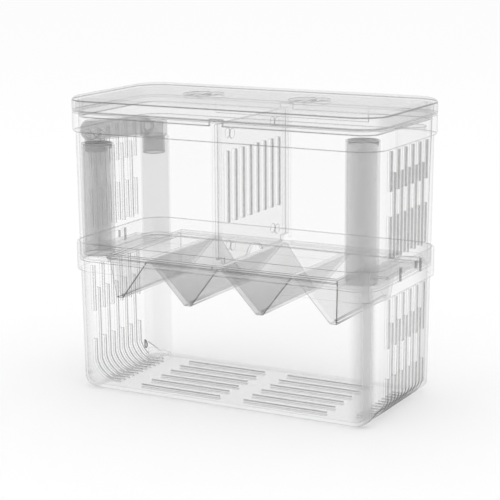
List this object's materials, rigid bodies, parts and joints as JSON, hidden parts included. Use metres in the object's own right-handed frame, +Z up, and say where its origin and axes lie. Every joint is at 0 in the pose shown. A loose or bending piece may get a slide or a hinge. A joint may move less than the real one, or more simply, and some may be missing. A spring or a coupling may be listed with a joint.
{
  "type": "fish breeding box",
  "caption": "Clear two-storey breeding box: slatted upper box with V-shaped tray, divider, corner tubes and bridge pipe, nested in a slatted lower box under a lid.",
  "frame": {"origin": "middle of the base, on the surface that the box stands on", "axes": "+X to the right along the long side, +Y to the back, +Z up"},
  "size_m": [0.161, 0.078, 0.14],
  "materials": {
    "clear_plastic": "clear polished",
    "tube_plastic": "clear polished, greyer where it curves"
  },
  "bodies": {
    "lower_box": {"lower_box": "clear_plastic"},
    "upper_box": {"upper_box": "clear_plastic"},
    "lid": {"lid": "clear_plastic"},
    "v_tray": {"v_tray": "clear_plastic"},
    "divider_plate": {"divider_plate": "clear_plastic"},
    "front_left_tube": {"front_left_tube": "tube_plastic"},
    "front_right_tube": {"front_right_tube": "tube_plastic"},
    "back_right_tube": {"back_right_tube": "tube_plastic"},
    "riser_tube": {"riser_tube": "tube_plastic"},
    "bridge_pipe": {"bridge_pipe": "tube_plastic"}
  },
  "joints": [
    {"name": "upper_box_lift", "type": "slide", "parent": "lower_box", "child": "upper_box", "axis": [0, 0, 1], "range_m": [0, 0.075]},
    {"name": "lid_lift", "type": "slide", "parent": "upper_box", "child": "lid", "axis": [0, 0, 1], "range_m": [0, 0.15]},
    {"name": "bridge_pipe_lift", "type": "slide", "parent": "upper_box", "child": "bridge_pipe", "axis": [0, 0, 1], "range_m": [0, 0.1435]},
    {"name": "riser_tube_lift", "type": "slide", "parent": "upper_box", "child": "riser_tube", "axis": [0, 0, 1], "range_m": [0, 0.133]},
    {"name": "divider_plate_lift", "type": "slide", "parent": "upper_box", "child": "divider_plate", "axis": [0, 0, 1], "range_m": [0, 0.097]},
    {"name": "v_tray_lift", "type": "slide", "parent": "upper_box", "child": "v_tray", "axis": [0, 0, 1], "range_m": [0, 0.091]},
    {"name": "front_left_tube_lift", "type": "slide", "parent": "upper_box", "child": "front_left_tube", "axis": [0, 0, 1], "range_m": [0, 0.076]},
    {"name": "front_right_tube_lift", "type": "slide", "parent": "upper_box", "child": "front_right_tube", "axis": [0, 0, 1], "range_m": [0, 0.076]},
    {"name": "back_right_tube_lift", "type": "slide", "parent": "upper_box", "child": "back_right_tube", "axis": [0, 0, 1], "range_m": [0, 0.076]}
  ],
  "couplings": [
    {"joint": "bridge_pipe_lift", "follows": "lid_lift", "ratio": 0.95},
    {"joint": "riser_tube_lift", "follows": "lid_lift", "ratio": 0.88},
    {"joint": "divider_plate_lift", "follows": "lid_lift", "ratio": 0.64},
    {"joint": "v_tray_lift", "follows": "lid_lift", "ratio": 0.6},
    {"joint": "front_left_tube_lift", "follows": "lid_lift", "ratio": 0.5},
    {"joint": "front_right_tube_lift", "follows": "lid_lift", "ratio": 0.5},
    {"joint": "back_right_tube_lift", "follows": "lid_lift", "ratio": 0.5}
  ]
}
